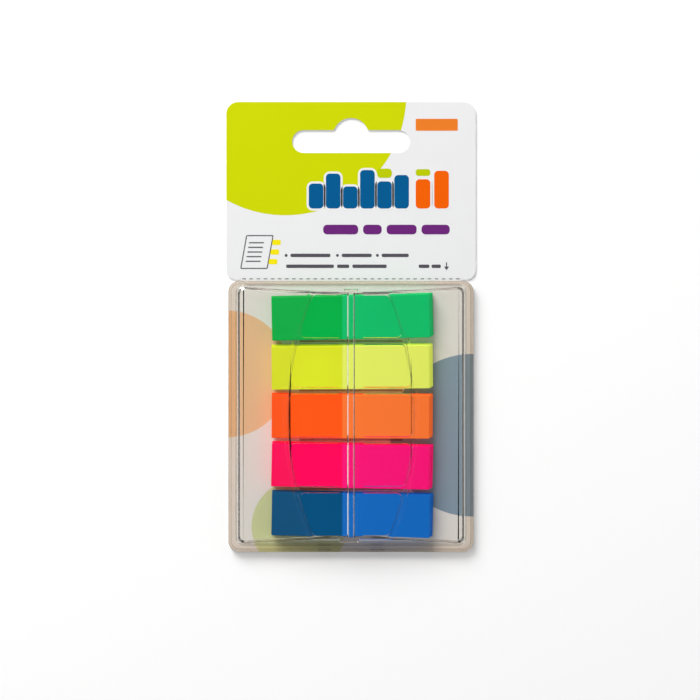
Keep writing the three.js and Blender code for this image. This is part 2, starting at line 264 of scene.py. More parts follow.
def make_card_material():
    material, tree = new_material("coated_card")
    place = add_node(tree, "ShaderNodeTexCoord").outputs["Object"]
    axes = add_node(tree, "ShaderNodeSeparateXYZ", Vector=place).outputs
    face = calc(tree, "GREATER_THAN", axes["Z"], CARD_TOP - FACE_DEPTH)
    header = calc(tree, "GREATER_THAN", axes["Y"], HEADER_FOOT)
    sides = {"header": header, "case": calc(tree, "SUBTRACT", 1.0, header)}
    color = CARD_WHITE
    for x, y, radius, ink, part in FIELDS:
        circle = add_node(tree, "ShaderNodeGroup", {"node_tree": CIRCLE}, Middle=(x * MM, y * MM, 0),
                          Radius=radius * MM)
        visible = combine(tree, "MULTIPLY", [circle.outputs["Mask"], sides[part], face])
        color = mix_colors(tree, visible, color, ink)
    add_grained_shader(tree, color, bump=0.25, specular=0.06, Grain_per_metre=3500.0, Mottle_per_metre=120.0,
                       Color_change=0.03, Roughness=0.6, Roughness_change=0.1)
    return material


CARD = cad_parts["backing_card"]
CARD.data.materials.clear()
CARD.data.materials.append(make_card_material())
print("card fields:", len(FIELDS))

# %% [markdown]
# ## The small print
# The marks on the header are thin layers of ink with crisp edges. The card's material could draw
# them, but real edges stay sharp up close and cast the right faint line. So each ink colour is one
# mesh of thin closed plates. Every plate is an outline that is pulled up a little.

# %% Outlines and plates
def rounded_bar(x, y, width, height, radius, steps=6):
    """The outline of a bar with round corners, anticlockwise, from its middle."""
    points = []
    for corner, (sx, sy) in enumerate(((1, 1), (-1, 1), (-1, -1), (1, -1))):
        for k in range(steps + 1):
            turn = math.pi / 2 * (corner + k / steps)
            px = sx * (width / 2 - radius) + radius * math.cos(turn)
            py = sy * (height / 2 - radius) + radius * math.sin(turn)
            points.append((x + px, y + py))
    return points


def add_plate(mesh, outline, low, high):
    """A closed plate from an outline in mm that runs anticlockwise."""
    rings = [[mesh.verts.new((x * MM, y * MM, z)) for x, y in outline] for z in (low, high)]
    mesh.faces.new(list(reversed(rings[0])))
    mesh.faces.new(rings[1])
    for k in range(len(outline)):
        n = (k + 1) % len(outline)
        mesh.faces.new((rings[0][k], rings[0][n], rings[1][n], rings[1][k]))


print("points in a bar's outline:", len(rounded_bar(0, 0, 2, 1, 0.2)))

# %% [markdown]
# An ink layer is a few hundredths of a millimetre thick. It starts just inside the card, so that no
# gap shows between the two, and its finish is a little glossier than the card's.

# %% Ink layer
INK = 0.03 * MM


def make_ink(name, color, outlines, low=CARD_TOP - INK, high=CARD_TOP + INK):
    mesh = bmesh.new()
    for outline in outlines:
        add_plate(mesh, outline, low, high)
    data = bpy.data.meshes.new(name)
    mesh.to_mesh(data)
    mesh.free()
    piece = new_object(name, data)
    material, tree = new_material("ink_" + name)
    add_grained_shader(tree, color, bump=0.2, specular=0.06, Grain_per_metre=4000.0, Mottle_per_metre=200.0,
                       Color_change=0.05, Roughness=0.55, Roughness_change=0.08)
    data.materials.append(material)
    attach(piece, "root")
    return piece


print("ink in mm:", INK / MM)

# %% [markdown]
# The header shows a row of index tabs, bars and dashes in place of words, a leaning page with three
# tabs, and an arrow at the tear-off line. These few functions turn short lists of sizes, in mm, into
# outlines.

# %% Shapes of the print
BLUE_TABS = [(-9.8, 7.0), (-5.0, 9.8), (-0.2, 6.2), (4.6, 10.8), (9.4, 7.6), (14.2, 9.4)]  # middle and height
ORANGE_TABS = [(20.2, 8.2), (25.4, 10.6)]
TAB_FOOT, TAB_WIDTH, TAB_RADIUS, KEYLINE = 33.2, 4.1, 1.1, 0.6
PAGE_X, PAGE_Y, PAGE_WIDTH, PAGE_HEIGHT, PAGE_LINE, PAGE_LEAN = -26.4, 21.0, 7.4, 9.2, 0.3, 0.18


def tabs(middles_and_heights, wider=0.0):
    return [rounded_bar(x, TAB_FOOT + h / 2, TAB_WIDTH + 2 * wider, h + 2 * wider, TAB_RADIUS + wider)
            for x, h in middles_and_heights]


def dashes(y, height, starts_and_widths):
    return [rounded_bar(x + w / 2, y, w, height, height * 0.4) for x, w in starts_and_widths]


def page_frame():
    """Four thin bars round the page, leaning a little to the right."""
    half_width, half_height = PAGE_WIDTH / 2, PAGE_HEIGHT / 2
    sides = [(PAGE_X, PAGE_Y + half_height, PAGE_WIDTH, PAGE_LINE),
             (PAGE_X, PAGE_Y - half_height, PAGE_WIDTH, PAGE_LINE),
             (PAGE_X - half_width, PAGE_Y, PAGE_LINE, PAGE_HEIGHT),
             (PAGE_X + half_width, PAGE_Y, PAGE_LINE, PAGE_HEIGHT)]
    bars = [rounded_bar(*side, PAGE_LINE / 2.2) for side in sides]
    return [[(x + PAGE_LEAN * (y - PAGE_Y), y) for x, y in bar] for bar in bars]


def on_page(shift, width, height, radius, rises):
    """Bars on the page, one at each rise above its middle."""
    return [rounded_bar(PAGE_X + shift + PAGE_LEAN * rise, PAGE_Y + rise, width, height, radius)
            for rise in rises]


print("tabs in the row:", len(BLUE_TABS) + len(ORANGE_TABS))

# %% [markdown]
# One entry for each ink gives its colour and its outlines. A new mark is one more line here.

# %% Make the print
PURPLE_DASHES = [(-7.8, 9.8), (3.4, 5.2), (10.0, 8.4), (19.8, 7.9)]  # left end and width
UPPER_DASHES = [(-17.0, 11.2), (-2.6, 8.4), (8.6, 7.6)]
LOWER_DASHES = [(-18.2, 13.4), (-3.9, 3.4), (0.4, 9.6), (19.0, 3.0), (22.6, 2.6)]
DOTS = (-18.2, -3.8, 7.4)
UPPER_Y, LOWER_Y, DASH_HEIGHT = 20.05, 17.0, 0.95
ARROW = [(26.95, 18.1), (26.65, 18.1), (26.65, 16.9), (26.1, 16.9), (26.8, 15.9), (27.5, 16.9),
         (26.95, 16.9)]
INKS = {
    "print_blue": (linear(0, 91, 146), tabs(BLUE_TABS)),
    "print_orange": (linear(246, 98, 0), tabs(ORANGE_TABS)),
    "print_lime": (linear(190, 205, 0), [rounded_bar(9.4, 43.1, TAB_WIDTH, 2.6, 1.0),
                                         rounded_bar(20.2, 43.3, TAB_WIDTH, 1.9, 0.8)]),
    "print_badge": (linear(240, 128, 40), [rounded_bar(24.05, 56.7, 11.8, 3.35, 0.35)]),
    "print_purple": (linear(110, 40, 122), dashes(27.3, 2.7, PURPLE_DASHES)),
    "print_grey": (linear(88, 84, 92),
                   dashes(UPPER_Y, DASH_HEIGHT, UPPER_DASHES) + dashes(LOWER_Y, DASH_HEIGHT, LOWER_DASHES)
                   + [rounded_bar(x, UPPER_Y, 0.8, 0.8, 0.38) for x in DOTS] + [ARROW]),
    "print_page": (linear(96, 98, 96),
                   page_frame() + on_page(-0.6, 4.2, 0.35, 0.15, (-2.6, -1.3, 0.0, 1.3, 2.6))),
    "print_yellow": (linear(250, 232, 20), on_page(5.0, 2.4, 1.5, 0.4, (-2.7, 0.0, 2.7))),
}
for name, (color, outlines) in INKS.items():
    make_ink(name, color, outlines)
print("ink colours:", len(INKS))

# %% [markdown]
# The tabs have a white keyline, so that they stay clear of the green field. It is one more layer of
# ink, wider and thinner, under the others.

# %% White keyline
make_ink("print_white", CARD_WHITE, tabs(BLUE_TABS + ORANGE_TABS, wider=KEYLINE), high=CARD_TOP + INK / 2)
print("keyline in mm:", KEYLINE)

# %% [markdown]
# The header tears off along a row of short cuts. Each cut is a slot through the card, and its inside
# looks dark. A thin grey plate in each slot, a little below the printed face, gives that shade.

# %% Shade in the tear-off cuts
CUT_ROW_Y, CUTS, CUT_PITCH, CUT_LENGTH, CUT_WIDTH, CUT_RADIUS = 13.45, 31, 2.0, 1.0, 0.27, 0.1
SHADE_LOW, SHADE_HIGH = 0.3 * MM, 0.42 * MM
cuts = [rounded_bar((k - CUTS // 2) * CUT_PITCH, CUT_ROW_Y, CUT_LENGTH, CUT_WIDTH, CUT_RADIUS, steps=2)
        for k in range(CUTS)]
make_ink("cut_shade", linear(120, 122, 118), cuts, low=SHADE_LOW, high=SHADE_HIGH)
print("cuts:", len(cuts))

# %% [markdown]
# ## The film flags
# A stack is one folded film flag on another. That is a rule, so Geometry Nodes make it: a line of
# points gives one thin leaf each, and every leaf is moved a little by a seeded random value. Then
# all points are lifted by the height that the stack has at their place along the flag.

# %% Inputs of the leaf stack
STACK_INPUTS = [
    ("Leaves", "Int", 20), ("Length", "Float", 0.045), ("Width", "Float", 0.012), ("Foot", "Float", 0.0013),
    ("End height", "Float", 0.0034), ("Crown", "Float", 0.0012), ("End lean", "Float", 0.0011),
    ("Side lean", "Float", 0.0002), ("Jitter", "Float", 0.0001), ("Film share", "Float", 0.8),
    ("Seed", "Int", 1),
]


def start_stack_tree():
    tree = bpy.data.node_groups.new("film_stack", "GeometryNodeTree")
    face = tree.interface
    face.new_socket("Geometry", in_out="INPUT", socket_type="NodeSocketGeometry")
    for name, kind, value in STACK_INPUTS:
        face.new_socket(name, in_out="INPUT", socket_type="NodeSocket" + kind).default_value = value
    face.new_socket("Film", in_out="INPUT", socket_type="NodeSocketMaterial")
    face.new_socket("Geometry", in_out="OUTPUT", socket_type="NodeSocketGeometry")
    return tree, tree.nodes.new("NodeGroupInput").outputs


print("inputs of the stack:", len(STACK_INPUTS))

# %% [markdown]
# The first half of the tree lays the leaves out: one flat box on each point, a metre apart, so that
# a leaf's height is still its number. The second half bends them. It turns that number into a share
# of the stack, and multiplies it by the stack's height there.

# %% Leaf stack tree
LEAF_CUTS = 33  # points along a leaf, so that it can bend


def lay_leaves(tree, get):
    """Thin boxes over one another, each moved a little sideways."""
    line = add_node(tree, "GeometryNodeMeshLine", Count=get["Leaves"], Offset=(0, 0, 1.0))
    size = add_node(tree, "ShaderNodeCombineXYZ", X=get["Length"], Y=get["Width"], Z=get["Film share"])
    leaf = add_node(tree, "GeometryNodeMeshCube", Size=size.outputs[0], Vertices_X=LEAF_CUTS, Vertices_Y=2,
                    Vertices_Z=2)
    placed = add_node(tree, "GeometryNodeInstanceOnPoints", Points=line.outputs["Mesh"],
                      Instance=leaf.outputs["Mesh"])
    index = add_node(tree, "GeometryNodeInputIndex").outputs[0]
    shift = add_node(tree, "FunctionNodeRandomValue", {"data_type": "FLOAT_VECTOR"}, Seed=get["Seed"],
                     ID=index)
    shift.inputs["Min"].default_value = (-1, -1, 0)
    shift.inputs["Max"].default_value = (1, 1, 0)
    amount = add_node(tree, "ShaderNodeVectorMath", {"operation": "SCALE"}, i0=shift.outputs[0],
                      Scale=get["Jitter"])
    moved = add_node(tree, "GeometryNodeTranslateInstances", Instances=placed.outputs[0],
                     Translation=amount.outputs[0])
    return add_node(tree, "GeometryNodeRealizeInstances", Geometry=moved.outputs[0]).outputs[0]


def bent_place(tree, get):
    """Where each point of the leaves goes: up by its share of the stack, and aside by the two leans."""
    place = add_node(tree, "GeometryNodeInputPosition").outputs[0]
    x, y, z = add_node(tree, "ShaderNodeSeparateXYZ", Vector=place).outputs
    level = calc(tree, "DIVIDE", calc(tree, "ADD", z, 0.5), get["Leaves"])
    along = calc(tree, "ADD", calc(tree, "DIVIDE", x, get["Length"]), 0.5)
    inside = add_node(tree, "ShaderNodeClamp", Value=along).outputs[0]
    rise = calc(tree, "MULTIPLY", calc(tree, "SINE", calc(tree, "MULTIPLY", inside, math.pi)), get["Crown"])
    height = calc(tree, "ADD", rise, get["End height"])
    new_z = calc(tree, "ADD", calc(tree, "MULTIPLY", level, height), get["Foot"])
    end_lean = calc(tree, "MULTIPLY", calc(tree, "MULTIPLY", level, inside), get["End lean"])
    side_lean = calc(tree, "MULTIPLY", calc(tree, "SUBTRACT", level, 0.5), get["Side lean"])
    return add_node(tree, "ShaderNodeCombineXYZ", X=calc(tree, "SUBTRACT", x, end_lean),
                    Y=calc(tree, "ADD", y, side_lean), Z=new_z).outputs[0]


def make_stack_tree():
    tree, get = start_stack_tree()
    bent = add_node(tree, "GeometryNodeSetPosition", Geometry=lay_leaves(tree, get),
                    Position=bent_place(tree, get))
    dressed = add_node(tree, "GeometryNodeSetMaterial", Geometry=bent.outputs[0], Material=get["Film"])
    end = tree.nodes.new("NodeGroupOutput")
    tree.links.new(dressed.outputs[0], end.inputs[0])
    return tree


STACK_TREE = make_stack_tree()
print("made the tree", STACK_TREE.name)

# %% [markdown]
# Each flag has two colours. Its gum strip lies under the left half, where the colour looks deeper.
# The material mixes the two along the flag and adds the fine grain. Fluorescent film does let some light out
# at its cut edges, but here that is a fixed glow in the film's own colour. It is painted light, and it also
# brightens the narrow gaps between the stacks: strong on faces that don't look up, faint on the tops.

# %% Film material
SPLIT_X, SPLIT_SOFTNESS = -2.4 * MM, 0.3 * MM
# Strengths of the painted glow: on steep faces, and on the tops.
PAINTED_EDGE_GLOW, PAINTED_TOP_GLOW = 0.45, 0.09
STEEP, FLAT = 0.3, 0.7  # how much a face looks up


def make_film(name, right, left):
    material, tree = new_material("film_" + name)
    place = add_node(tree, "ShaderNodeTexCoord").outputs
    axes = add_node(tree, "ShaderNodeSeparateXYZ", Vector=place["Object"]).outputs
    half = add_node(tree, "ShaderNodeMapRange", {"interpolation_type": "SMOOTHSTEP"}, Value=axes["X"],
                    From_Min=SPLIT_X - SPLIT_SOFTNESS, From_Max=SPLIT_X + SPLIT_SOFTNESS).outputs[0]
    color, shader = add_grained_shader(
        tree, mix_colors(tree, half, (*left, 1), (*right, 1)), bump=0.2, specular=0.08,
        Grain_per_metre=5000.0, Mottle_per_metre=90.0, Color_change=0.06, Roughness=0.48,
        Roughness_change=0.12)
    # Painted light: a fixed glow in the film's own colour, strong on faces that don't look up and faint on
    # the tops.
    facing = add_node(tree, "ShaderNodeSeparateXYZ", Vector=place["Normal"]).outputs
    edge = add_node(tree, "ShaderNodeMapRange", Value=calc(tree, "ABSOLUTE", facing["Z"]), From_Min=FLAT,
                    From_Max=STEEP, To_Min=PAINTED_TOP_GLOW, To_Max=PAINTED_EDGE_GLOW).outputs[0]
    glow = add_node(tree, "ShaderNodeVectorMath", {"operation": "SCALE"}, i0=color, Scale=edge)
    tree.links.new(glow.outputs[0], shader.inputs["Emission Color"])
    shader.inputs["Emission Strength"].default_value = 1.0
    return material


FILMS = {  # the colour right of the split, and left of it
    "green": ((0.0, 0.53, 0.15), (0.0, 0.41, 0.06)),
    "yellow": ((0.79, 0.90, 0.13), (0.68, 0.75, 0.02)),
    "orange": ((1.0, 0.19, 0.03), (1.0, 0.091, 0.007)),
    "pink": ((1.0, 0.0, 0.2), (1.0, 0.0, 0.102)),
    "blue": ((0.0, 0.142, 0.57), (0.0, 0.076, 0.205)),
}
print("film colours:", list(FILMS))

# %% [markdown]
# Now the tree makes each stack. A helper object carries the modifier, and its result is taken as a
# plain mesh. Each mesh is turned by the small angle at which that stack lies, and moved to the middle
# of its CAD solid, which it then stands for.

# %% Make the five stacks
LEAN = {"green": 1.2, "yellow": 0.5, "orange": -0.3, "pink": -1.2, "blue": -1.1}  # degrees
STACK_SETTLE = -0.2 * MM  # the stacks lie a little towards the foot of the pack
STACK_SIZES = {"Leaves": 20, "Length": 44.9 * MM, "Width": 11.9 * MM, "Foot": 1.31 * MM,
               "End height": 3.4 * MM, "Crown": 1.2 * MM, "End lean": 1.1 * MM, "Side lean": -0.7 * MM,
               "Jitter": 0.1 * MM, "Film share": 0.82}


def stack_mesh(values):
    """The stack tree's result, with these inputs, as a plain mesh."""
    maker = new_object("stack_maker", bpy.data.meshes.new("stack_maker"))
    modifier = maker.modifiers.new("leaves", "NODES")
    modifier.node_group = STACK_TREE
    sockets = {s.name: s.identifier for s in STACK_TREE.interface.items_tree if s.in_out == "INPUT"}
    for name, value in values.items():
        modifier[sockets[name]] = value
    graph = bpy.context.evaluated_depsgraph_get()
    data = bpy.data.meshes.new_from_object(maker.evaluated_get(graph))
    bpy.data.objects.remove(maker)
    return data


def make_stack(color, seed):
    node = "flag_stack_" + color
    data = stack_mesh({**STACK_SIZES, "Seed": seed, "Film": make_film(color, *FILMS[color])})
    low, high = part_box(node)
    middle = (low + high) / 2
    turn = math.radians(LEAN[color])
    for vertex in data.vertices:
        x, y, z = vertex.co
        across = y + STACK_SETTLE
        vertex.co = (middle.x + x * math.cos(turn) - across * math.sin(turn),
                     middle.y + x * math.sin(turn) + across * math.cos(turn), z)
    data.name = "flags_" + color
    piece = new_object("flags_" + color, data)
    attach(piece, "root")
    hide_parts(node)
    print(piece.name, "faces:", len(data.polygons))


for seed, color in enumerate(FILMS, start=1):
    make_stack(color, seed)

# %% [markdown]
# ## The clear case
# The case is two mouldings of clear, slightly grey plastic: a flat tray and a vaulted cover. Long ways
# through plastic look darker than short ones, so the rim gets a deeper tint than the roof. Painted shade
# comes on top: dark lines on the rim's steep faces, and a dark brown on the ribs between the rows, where the
# deep gaps between the stacks lie in shade. Masks by place on the object choose these colours. The tints are
# set one by one.

# %% Tints by place
ROOF_TINT = (0.963, 0.965, 0.945, 1)
RIM_TINT = (0.95, 0.915, 0.87, 1)
# Painted shade: a dark tint on the rim's steep faces stands for the dark lines that refraction draws at a
# clear rim's edges.
RIM_EDGE_PAINTED_SHADE = (0.52, 0.47, 0.41, 1)  # on the rim's steep faces
# Painted shade: a dark brown on the ribs between the rows stands for the shade in the deep gaps between the
# stacks.
RIB_PAINTED_SHADE = (0.30, 0.17, 0.12, 1)
RIM_HALF_WIDTH, RIM_LOW_Y, RIM_HIGH_Y = 31.9 * MM, -60.6 * MM, 11.4 * MM  # the rim starts there
RIB_HALF_LENGTH = 14.8 * MM
RIB_LOW_Z, RIB_HIGH_Z = 1.5 * MM, 5.2 * MM
RIB_LOW_Y, RIB_HIGH_Y = -57 * MM, 8 * MM


def plastic_tint_and_painted_shade(tree, axes, from_middle, upright):
    """The tint of the plastic, deeper at the rim, plus painted shade: dark lines on the rim's steep faces,
    where the long way through the plastic darkens it too, and a dark brown in the ribs between the rows.
    """
    rim = combine(tree, "MAXIMUM", [calc(tree, "GREATER_THAN", from_middle, RIM_HALF_WIDTH),
                                    calc(tree, "LESS_THAN", axes["Y"], RIM_LOW_Y),
                                    calc(tree, "GREATER_THAN", axes["Y"], RIM_HIGH_Y)])
    shaded_rib = combine(tree, "MULTIPLY", [calc(tree, "LESS_THAN", from_middle, RIB_HALF_LENGTH),
                                     calc(tree, "GREATER_THAN", axes["Z"], RIB_LOW_Z),
                                     calc(tree, "LESS_THAN", axes["Z"], RIB_HIGH_Z),
                                     calc(tree, "GREATER_THAN", axes["Y"], RIB_LOW_Y),
                                     calc(tree, "LESS_THAN", axes["Y"], RIB_HIGH_Y)])
    tint = mix_colors(tree, rim, ROOF_TINT, RIM_TINT)
    tint = mix_colors(tree, calc(tree, "MULTIPLY", rim, upright), tint, RIM_EDGE_PAINTED_SHADE)
    return mix_colors(tree, shaded_rib, tint, RIB_PAINTED_SHADE)


print("rim from x in mm:", RIM_HALF_WIDTH / MM)

# %% [markdown]
# A renderer can't find lamps through refracting plastic, so the case would throw a black shadow. The
# usual way round it: shadow rays and diffuse rays see a plain see-through shader in its place. Its
# colour says how much light comes through. The upright faces at the right and bottom edges, which
# face away from the main lamp, let less through, so that the pack gets a shadow there.

# %% Light through the case
ROOF_SHADE = (0.98, 0.966, 0.952, 1)
EDGE_SHADE = (0.25, 0.245, 0.24, 1)
OUTER_X, OUTER_Y = 33.2 * MM, -62.0 * MM  # beyond this x, or below this y, lie the far edges


def see_through(tree, axes, upright):
    outer = combine(tree, "MAXIMUM", [calc(tree, "GREATER_THAN", axes["X"], OUTER_X),
                                      calc(tree, "LESS_THAN", axes["Y"], OUTER_Y)])
    shade = mix_colors(tree, calc(tree, "MULTIPLY", outer, upright), ROOF_SHADE, EDGE_SHADE)
    return add_node(tree, "ShaderNodeBsdfTransparent", Color=shade).outputs[0]


print("light through the roof:", ROOF_SHADE[:3])

# %% [markdown]
# The plastic itself is a Principled shader with full transmission. Its mirror tint is set lower than real
# plastic's, because the photograph shows hardly any haze over the flags.

# %% Clear plastic
UPRIGHT = 0.7  # a face that looks up less than this counts as upright
PLASTIC_IOR = 1.46
MIRROR_TINT = (0.3, 0.3, 0.3, 1)
RUB_DEPTH = 0.05 * MM


def make_plastic():
    material, tree = new_material("clear_plastic")
    place = add_node(tree, "ShaderNodeTexCoord").outputs
    axes = add_node(tree, "ShaderNodeSeparateXYZ", Vector=place["Object"]).outputs
    facing = add_node(tree, "ShaderNodeSeparateXYZ", Vector=place["Normal"]).outputs
    upright = calc(tree, "LESS_THAN", calc(tree, "ABSOLUTE", facing["Z"]), UPRIGHT)
    rubs = add_node(tree, "ShaderNodeGroup", {"node_tree": RUBS}, Smooth=0.015, Rubbed=0.06).outputs
    bump = add_node(tree, "ShaderNodeBump", Strength=0.05, Distance=RUB_DEPTH, Height=rubs["Height"])
    glass = add_node(tree, "ShaderNodeBsdfPrincipled", Roughness=rubs["Roughness"], Normal=bump.outputs[0],
                     Base_Color=plastic_tint_and_painted_shade(tree, axes, calc(tree, "ABSOLUTE", axes["X"]), upright))
    glass.inputs["Transmission Weight"].default_value = 1.0
    glass.inputs["IOR"].default_value = PLASTIC_IOR
    glass.inputs["Specular Tint"].default_value = MIRROR_TINT
    clear = see_through(tree, axes, upright)
    path = add_node(tree, "ShaderNodeLightPath").outputs
    soft = add_node(tree, "ShaderNodeMixShader", Fac=path["Is Diffuse Ray"], i1=glass.outputs[0], i2=clear)
    whole = add_node(tree, "ShaderNodeMixShader", Fac=path["Is Shadow Ray"], i1=soft.outputs[0], i2=clear)
    add_node(tree, "ShaderNodeOutputMaterial", Surface=whole.outputs[0])
    return material


PLASTIC = make_plastic()
print("made the material", PLASTIC.name)

# %% [markdown]
# The CAD vault is made of flat strips. Plastic bends light, so even small steps between strips would
# show as stripes. The vault is a cylinder, so its true normals are known: they point away from its
# axis. The axis follows from the arc's width and rise.

# %% The vault's axis
SPRINGING_HALF, ROOF_RISE, PANEL_RISE, RIDGE_RISE = 31.7, 4.2, 0.5, 0.8  # mm
VAULT_RADIUS = (SPRINGING_HALF ** 2 + ROOF_RISE ** 2) / (2 * ROOF_RISE)
AXIS_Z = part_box("dispenser_cover")[1].z - (PANEL_RISE + RIDGE_RISE) * MM - VAULT_RADIUS * MM
OUTSIDE_FROM_Z, INSIDE_FROM_Z = 4.2 * MM, 3.2 * MM  # the vault's two faces lie above these heights
VAULT_ANGLE = math.radians(4)


def from_axis(place):
    return Vector((place.x, 0, place.z - AXIS_Z)).normalized()


def vault_sides(data):
    """The faces of the vault: 1 for its outside, and -1 for its inside."""
    sides = {}
    for face in data.polygons:
        arm = from_axis(face.center)
        if face.normal.angle(arm) < VAULT_ANGLE and face.center.z > OUTSIDE_FROM_Z:
            sides[face.index] = 1
        elif face.normal.angle(-arm) < VAULT_ANGLE and face.center.z > INSIDE_FROM_Z:
            sides[face.index] = -1
    return sides


print("axis of the vault in mm:", round(AXIS_Z / MM, 1))

# %% [markdown]
# Everywhere else, a corner takes the normals of the faces round it, each by its area. So a large
# face keeps its own direction, and a narrow round beside it leads from one face to the next.

# %% Smooth normals
ROUND_ANGLE = math.radians(40)


def smooth_moulding(data):
    sides = vault_sides(data)
    around = {}
    for face in data.polygons:
        for v in face.vertices:
            around.setdefault(v, []).append(face)
    normals = [None] * len(data.loops)
    for face in data.polygons:
        for loop in face.loop_indices:
            v = data.loops[loop].vertex_index
            arm = from_axis(data.vertices[v].co)
            if face.index in sides:
                normals[loop] = arm * sides[face.index]
                continue
            near = [f for f in around[v] if f.normal.angle(face.normal) < ROUND_ANGLE]
            total = Vector()
            for f in near:
                total += (arm * sides[f.index] if f.index in sides else f.normal) * f.area
            normals[loop] = total.normalized()
    data.normals_split_custom_set(normals)


print("faces join smoothly below degrees:", round(math.degrees(ROUND_ANGLE)))

# %% [markdown]
# A moulded edge is never sharp, and its round is what catches the light. The rounds differ: large on
# the rim, small inside, and none at the ridge, where the solid has a chamfer and small corners of its
# own. One function gives each edge its share of the largest round, from where its middle lies.

# %% How much each edge is rounded
LARGEST_ROUND = 0.4 * MM
SHARES = {"catch": 0.2, "rim": 1.0, "flange": 0.3, "wall": 0.5, "panel edge": 0.6, "panel inside": 0.12,
          "roof": 0.45, "tray": 0.2}
BESIDE_RIDGE = 3.7  # mm, as all the lengths below
CATCH_FROM, CATCH_TO, CATCH_Y = 5, 10, -61.5
OUTER_HALF_WIDTH, OUTER_HIGH_Y, OUTER_LOW_Y, RIM_TOP_FROM = 33.2, 12.3, -62.3, 1.8
FLANGE_UP_TO = 3.0
WALL_HALF_WIDTH, WALL_HIGH_Y, WALL_LOW_Y = 30.5, 9.0, -58.6
PANEL_RADIUS, PANEL_HALF_WIDTH, PANEL_MIDDLE_Y, PANEL_WALL = 86.2, 18.7, -24.7, 1.0
NEAR_EDGE, NEAR_INSIDE = 0.3, 0.25


def outside_panel(x, y):
    """How far a place in mm lies outside the arc of the raised panel's edge."""
    arc = math.sqrt(PANEL_RADIUS ** 2 - (y - PANEL_MIDDLE_Y) ** 2)
    return x - (arc - PANEL_RADIUS + PANEL_HALF_WIDTH)


def cover_round(place):
    """The share of the largest round that an edge of the cover gets, from its middle."""
    x, y, z = abs(place.x) / MM, place.y / MM, place.z / MM
    if x < BESIDE_RIDGE:
        return 0.0
    if y < CATCH_Y and CATCH_FROM < x < CATCH_TO:
        return SHARES["catch"]
    if x > OUTER_HALF_WIDTH or y > OUTER_HIGH_Y or y < OUTER_LOW_Y:
        return SHARES["rim"] if z > RIM_TOP_FROM else 0.0
    if z < FLANGE_UP_TO:
        return SHARES["flange"]
    if x > WALL_HALF_WIDTH or y > WALL_HIGH_Y or y < WALL_LOW_Y:
        return SHARES["wall"]
    outside = outside_panel(x, y)
    if abs(outside) < NEAR_EDGE:
        return SHARES["panel edge"]
    return SHARES["panel inside"] if abs(outside + PANEL_WALL) < NEAR_INSIDE else SHARES["roof"]


def tray_round(place):
    return SHARES["tray"]


print("largest round in mm:", LARGEST_ROUND / MM)

# %% [markdown]
# The CAD solids stay as they are, so the rounds go on copies. A copy is merged to one skin first,
# flat neighbours are joined, and a Bevel modifier rounds each edge by its weight. The copies are
# lifted by a hair, so that no two faces of the case lie in one plane.

# %% Rounded copies of the two mouldings
SHARP_ANGLE = math.radians(40)
FLAT_ANGLE = math.radians(0.3)
MERGE = 1e-6


def one_skin(source, name, lift, share):
    """A merged copy of a solid's mesh, with a weight for the round on each sharp edge."""
    data = source.copy()
    data.name = name
    mesh = bmesh.new()
    mesh.from_mesh(data)
    bmesh.ops.remove_doubles(mesh, verts=mesh.verts, dist=MERGE)
    bmesh.ops.dissolve_limit(mesh, angle_limit=FLAT_ANGLE, verts=mesh.verts, edges=mesh.edges)
    weight = mesh.edges.layers.float.new("bevel_weight_edge")
    for edge in mesh.edges:
        if len(edge.link_faces) == 2 and edge.calc_face_angle() > SHARP_ANGLE:
            edge[weight] = share((edge.verts[0].co + edge.verts[1].co) / 2)
    for vertex in mesh.verts:
        vertex.co.z += lift
    mesh.to_mesh(data)
    mesh.free()
    return data


def make_moulding(node, name, lift, share):
    data = one_skin(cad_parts[node].data, name, lift, share)
    data.materials.clear()
    data.materials.append(PLASTIC)
    piece = new_object(name, data)
    bevel = piece.modifiers.new("round", "BEVEL")
    bevel.width = LARGEST_ROUND
    bevel.segments = 3
    bevel.limit_method = "WEIGHT"
    bevel.use_clamp_overlap = False
    graph = bpy.context.evaluated_depsgraph_get()
    rounded = bpy.data.meshes.new_from_object(piece.evaluated_get(graph))
    piece.modifiers.clear()
    piece.data = rounded
    rounded.shade_smooth()
    smooth_moulding(rounded)
    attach(piece, "root")
    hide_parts(node)
    print(name, "faces:", len(rounded.polygons))
    return piece


TRAY = make_moulding("base_tray", "clear_tray", 0.02 * MM, tray_round)
COVER = make_moulding("dispenser_cover", "clear_cover", 0.04 * MM, cover_round)

# %% [markdown]
# A thin bead runs round the flange and stiffens it. Seen from above it works as a narrow lens, with a
# dark line at each side. Rings of the same outline, each at its own inset and height, make its skin.

# %% Rim bead
BEAD_INSET, BEAD_HALF_WIDTH, BEAD_HEIGHT, BEAD_STEPS = 0.5, 0.4, 0.36, 8
CASE_LOW, CASE_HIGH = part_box("dispenser_cover")
CASE_RADIUS = 3.0
BEAD_FOOT = 2.1 * MM + 0.05 * MM  # the top of the flange, and a hair more


def case_ring(mesh, inset, z):
    middle = (CASE_LOW + CASE_HIGH) / 2 / MM
    size = (CASE_HIGH - CASE_LOW) / MM
    outline = rounded_bar(middle.x, middle.y, size.x - 2 * inset, size.y - 2 * inset,
                          CASE_RADIUS - inset, steps=12)
    return [mesh.verts.new((x * MM, y * MM, z)) for x, y in outline]


